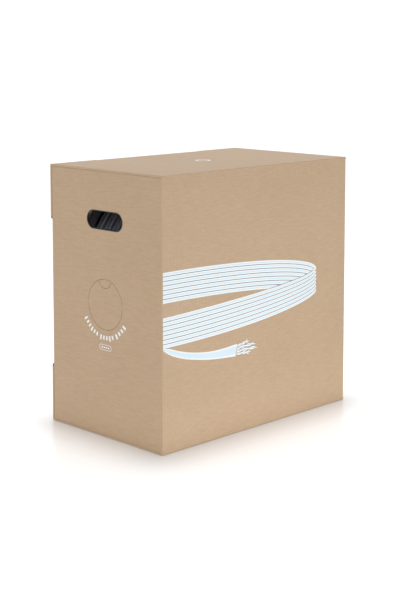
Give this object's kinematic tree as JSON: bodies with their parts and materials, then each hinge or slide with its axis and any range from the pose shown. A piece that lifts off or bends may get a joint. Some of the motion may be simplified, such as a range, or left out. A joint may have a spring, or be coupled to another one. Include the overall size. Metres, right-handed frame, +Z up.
{
  "type": "cable spool box",
  "caption": "Corrugated carton with a hinged top, hand holes and a knock-out cable outlet, holding a cable spool that turns on a fixed axle.",
  "frame": {"origin": "on the floor, at the middle of the outer box, tabs included", "axes": "+X along the long side, away from the end with the cable outlet; -Y is the printed front; +Z up"},
  "size_m": [0.408, 0.2482, 0.4],
  "materials": {
    "kraft_board": "matt brown kraft liner, corrugated",
    "print_ink": "thin matt flexographic ink, near white",
    "liner_plastic": "fine texture, black",
    "spool_plastic": "satin, moulded, black",
    "bearing_plastic": "satin, natural acetal",
    "axle_steel": "zinc-plated tube",
    "zinc_steel": "bright zinc",
    "core_board": "spirally wound grey-brown board",
    "cable_jacket": "satin jacket, blue-black"
  },
  "bodies": {
    "root": {"bottom_panel": "kraft_board", "bottom_tab_left": "kraft_board", "bottom_tab_right": "kraft_board", "front_panel": "kraft_board", "back_panel": "kraft_board", "left_end_panel": "kraft_board", "right_end_panel": "kraft_board", "top_dust_flap_left": "kraft_board", "top_dust_flap_right": "kraft_board", "bottom_dust_flap_left": "kraft_board", "bottom_dust_flap_right": "kraft_board", "glue_flap": "kraft_board", "left_handle_liner": "liner_plastic", "right_handle_liner": "liner_plastic", "outlet_ring": "liner_plastic", "front_axle_pad": "kraft_board", "back_axle_pad": "kraft_board", "front_axle_cup": "bearing_plastic", "back_axle_cup": "bearing_plastic", "axle_tube": "axle_steel"},
    "lid": {"top_panel": "kraft_board"},
    "top_tab_left": {"top_tab_left": "kraft_board"},
    "top_tab_right": {"top_tab_right": "kraft_board"},
    "knockout": {"outlet_knockout_disc": "kraft_board"},
    "thumb_tab": {"outlet_thumb_tab": "kraft_board"},
    "spool": {"spool_flange_front": "spool_plastic", "spool_flange_back": "spool_plastic", "spool_core": "core_board", "spool_bushing_front": "bearing_plastic", "spool_bushing_back": "bearing_plastic", "tie_rods": "zinc_steel", "tie_nuts": "zinc_steel", "tie_washers": "zinc_steel", "cable_winding": "cable_jacket"}
  },
  "joints": [
    {"name": "lid_hinge", "type": "hinge", "parent": "root", "child": "lid", "pos_m": [0, -0.1241, 0.4], "axis": [1, 0, 0], "range_deg": [0, 170]},
    {"name": "top_tab_left_hinge", "type": "hinge", "parent": "lid", "child": "top_tab_left", "pos_m": [-0.159, 0.1241, 0.4], "axis": [1, 0, 0], "range_deg": [0, 150]},
    {"name": "top_tab_right_hinge", "type": "hinge", "parent": "lid", "child": "top_tab_right", "pos_m": [0.159, 0.1241, 0.4], "axis": [1, 0, 0], "range_deg": [0, 150]},
    {"name": "spool_spin", "type": "hinge", "parent": "root", "child": "spool", "pos_m": [0, -0.0016, 0.2], "axis": [0, 1, 0], "continuous": true},
    {"name": "knockout_pull", "type": "slide", "parent": "root", "child": "knockout", "axis": [-1, 0, 0], "range_m": [0, 0.08]},
    {"name": "thumb_tab_hinge", "type": "hinge", "parent": "root", "child": "thumb_tab", "pos_m": [-0.2008, -0.0016, 0.238], "axis": [0, -1, 0], "range_deg": [0, 80]}
  ]
}
